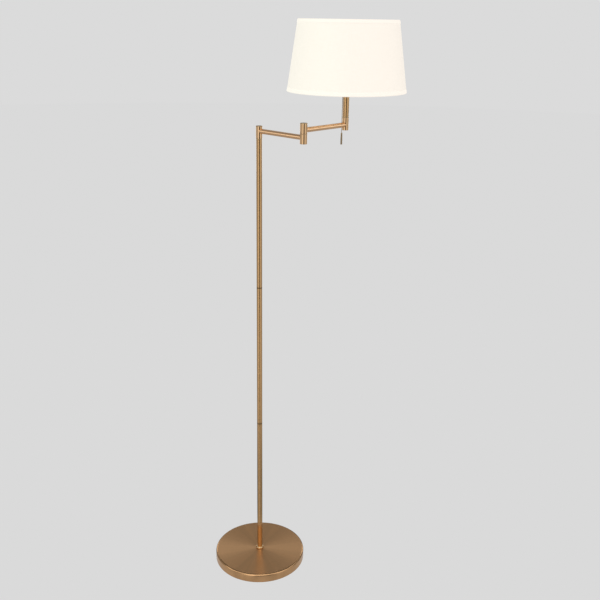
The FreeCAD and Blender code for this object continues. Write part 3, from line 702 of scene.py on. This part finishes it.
GLOBE_R = 0.03
liner_sheet = new_finish("shade_liner_sheet", (0.90, 0.88, 0.83), 0.45)
liner_tree = liner_sheet.node_tree
liner_grain = grain(liner_sheet, (0.006, 0.006, 0.006), detail=4)
tint(liner_sheet, liner_grain, (0.87, 0.85, 0.80), (0.92, 0.90, 0.86))
relief(liner_sheet, liner_grain, 0.0001)
# painted light: the liner glows with its own emission, brightest at the bulb's height and fading
# above and below it
globe_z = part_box("bulb_glass")[1].z - GLOBE_R
off_globe = math_step(liner_tree, "ABSOLUTE", math_step(
    liner_tree, "SUBTRACT", place_of(liner_tree).outputs["Z"], globe_z))
light_up(liner_sheet, (1.0, 0.90, 0.74, 1), blend(liner_tree, off_globe, 0.0, 0.11, 0.32, 0.14))
wear("shade_liner", liner_sheet)


# --- shade: fabric cover ----------------------------------------------------------------------
# Plain woven cotton, warm white, laminated on the liner. It is cut as a fan-shaped sheet and
# lapped at the back in one upright seam. The whole cone glows evenly with painted light, an
# emission set in the cloth itself.

COVER_THICK = 0.0006
LAP_W = 0.012
WARM_WHITE = (1.0, 0.965, 0.865)
ROSY_WHITE = (1.0, 0.925, 0.840)
CLOTH_SHARE = 0.3            # how much of the light on the cloth it throws back
CROSSING_SHARE = 0.25        # how much the crossings of the threads show beside their slubs
RISES = 24
ROUND_STEPS = 240
LAP_STEPS = 6
COVER_OFF_WIRE = 0.00115     # from the ring wire's outermost line to the outside of the cloth
shade_low, shade_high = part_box("shade_fabric")
shade_at = middle_of("shade_fabric")
bottom_r = (shade_high.x - shade_low.x) / 2
wire_low, wire_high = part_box("shade_top_wire")
top_r = (wire_high.x - wire_low.x) / 2 + COVER_OFF_WIRE
shade_h = shade_high.z - shade_low.z
slant = sqrt(shade_h ** 2 + (bottom_r - top_r) ** 2)


def woven(finish, thread, strength):
    """A plain weave on the piece's own map in metres, with uneven threads both ways, that glows
    with painted light.
    """
    tree = finish.node_tree
    layout = tree.nodes.new("ShaderNodeUVMap")
    layout.uv_map = "threads"
    split = tree.nodes.new("ShaderNodeSeparateXYZ")
    tree.links.new(layout.outputs["UV"], split.inputs["Vector"])
    waves, slubs = [], []
    for side, stretch in (("X", (0.0006, 0.03, 1)), ("Y", (0.03, 0.0006, 1))):
        waves.append(math_step(tree, "SINE", math_step(
            tree, "MULTIPLY", split.outputs[side], pi / thread)))
        lie = tree.nodes.new("ShaderNodeMapping")
        lie.vector_type = "TEXTURE"
        lie.inputs["Scale"].default_value = stretch
        slub = tree.nodes.new("ShaderNodeTexNoise")
        slub.inputs["Scale"].default_value = 1
        slub.inputs["Detail"].default_value = 2
        tree.links.new(layout.outputs["UV"], lie.inputs["Vector"])
        tree.links.new(lie.outputs["Vector"], slub.inputs["Vector"])
        slubs.append(slub.outputs["Fac"])
    crossing = math_step(tree, "MULTIPLY", math_step(tree, "MULTIPLY", *waves), CROSSING_SHARE)
    uneven = math_step(tree, "ADD", *slubs)
    cloth = math_step(tree, "MULTIPLY", math_step(tree, "ADD", crossing, uneven), 0.5)
    tint(finish, cloth, shaded(WARM_WHITE, CLOTH_SHARE * 0.9), shaded(WARM_WHITE, CLOTH_SHARE),
         0.3, 0.7)
    relief(finish, cloth, 0.00025)

    # painted light: the cloth's own emission gives its glow; the glow's tint drifts from warm to
    # rosy white across the shade's X, and the weave varies it a little
    tone = tree.nodes.new("ShaderNodeMix")
    tone.data_type = "RGBA"
    tone.inputs["A"].default_value = (*WARM_WHITE, 1)
    tone.inputs["B"].default_value = (*ROSY_WHITE, 1)
    across = place_of(tree).outputs["X"]
    drift = blend(tree, across, shade_at.x - 0.07, shade_at.x + 0.01, 0.0, 1.0)
    tree.links.new(drift, tone.inputs["Factor"])
    lit = tree.nodes.new("ShaderNodeVectorMath")
    lit.operation = "SCALE"
    tree.links.new(tone.outputs["Result"], lit.inputs[0])
    tree.links.new(blend(tree, cloth, 0.3, 0.7, 0.94, 1.0), lit.inputs["Scale"])
    light_up(finish, lit.outputs["Vector"], strength)


def map_threads(work):
    """Lay a map in metres on the cone: round it, and up its slope."""
    layer = work.loops.layers.uv.new("threads")
    for face in work.faces:
        middle = face.calc_center_median()
        bearing = atan2(middle.y, middle.x)
        for loop in face.loops:
            spot = loop.vert.co
            angle = atan2(spot.y, spot.x)
            angle += tau * round((bearing - angle) / tau)
            loop[layer].uv = (angle * bottom_r, (spot.z - shade_low.z) * slant / shade_h)


def cone_radius(height):
    return bottom_r + (top_r - bottom_r) * (height - shade_low.z) / shade_h


def roll_cloth(name, finish, outline, start, sweep, steps, thick):
    """Sweep an outline of (radius, height) points round the shade's axis into a cloth wall."""
    work = bmesh.new()
    points = [work.verts.new((radius * cos(start), radius * sin(start), height))
              for radius, height in outline]
    lines = [work.edges.new(pair) for pair in zip(points, points[1:])]
    bmesh.ops.spin(work, geom=points + lines, cent=(0, 0, 0), axis=(0, 0, 1), angle=sweep,
                   steps=steps, use_merge=sweep == tau)
    bmesh.ops.recalc_face_normals(work, faces=work.faces)
    outermost = max(work.faces, key=lambda face: face.calc_center_median().xy.length)
    if outermost.normal.dot(outermost.calc_center_median().xy.to_3d()) < 0:
        bmesh.ops.reverse_faces(work, faces=work.faces)
    map_threads(work)
    bmesh.ops.translate(work, vec=shade_at, verts=work.verts)
    cloth = piece_from(work, name, finish)
    wall = cloth.modifiers.new("thickness", "SOLIDIFY")
    wall.thickness = thick
    wall.offset = -1
    return cloth


cotton = new_finish("shade_cotton", (0.30, 0.28, 0.25), 0.85)
woven(cotton, 0.0008, 0.812)
shader_of(cotton).inputs["Sheen Weight"].default_value = 0.15

slope = [shade_low.z + shade_h * step / RISES for step in range(RISES + 1)]
cover_outline = [(cone_radius(z), z) for z in slope]
shade_cover = roll_cloth("shade_cover", cotton, cover_outline, 0, tau, ROUND_STEPS, COVER_THICK)
lap_outline = [(radius + COVER_THICK * 0.8, z) for radius, z in cover_outline]
lap_sweep = LAP_W / bottom_r
shade_lap = roll_cloth("shade_lap", cotton, lap_outline, pi / 2 - lap_sweep / 2, lap_sweep,
                       LAP_STEPS, COVER_THICK)
for cloth in (shade_cover, shade_lap):
    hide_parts("shade_fabric")
    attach(cloth, "shade_stem")


# --- shade: edge tapes ------------------------------------------------------------------------
# A woven tape is glued round each edge of the cover and rolled in over the ring wire. It stands
# 9 mm wide outside, and its inner edge is tucked behind the wire.

TAPE_H = 0.009
TAPE_OUT = 0.00045
TAPE_THICK = 0.0003
TAPE_TUCK = 0.0055
ROLL_R = 0.0024
ROLL_PAST = 0.0004           # how far the roll stands past the cloth's edge

tape_cotton = new_finish("shade_tape_cotton", (0.30, 0.29, 0.27), 0.85)
# painted light: the tapes glow with the same painted emission as the cloth
woven(tape_cotton, 0.0006, 0.84)
for name, edge_z, inward in (("shade_hem_bottom", shade_low.z, 1),
                             ("shade_hem_top", shade_high.z, -1)):
    rim = cone_radius(edge_z) + TAPE_OUT
    roll_z = edge_z + inward * (ROLL_R - ROLL_PAST)
    outline = []
    for step in (3, 2, 1):
        height = edge_z + inward * TAPE_H * step / 3
        outline.append((cone_radius(height) + TAPE_OUT, height))
    for step in range(9):
        angle = pi * step / 8
        outline.append((rim - ROLL_R + ROLL_R * cos(angle), roll_z - inward * ROLL_R * sin(angle)))
    outline.append((rim - 2 * ROLL_R - 0.0001, edge_z + inward * TAPE_TUCK))
    hem = roll_cloth(name, tape_cotton, outline, 0, tau, ROUND_STEPS, TAPE_THICK)
    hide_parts("shade_edge_tapes")
    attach(hem, "shade_stem")
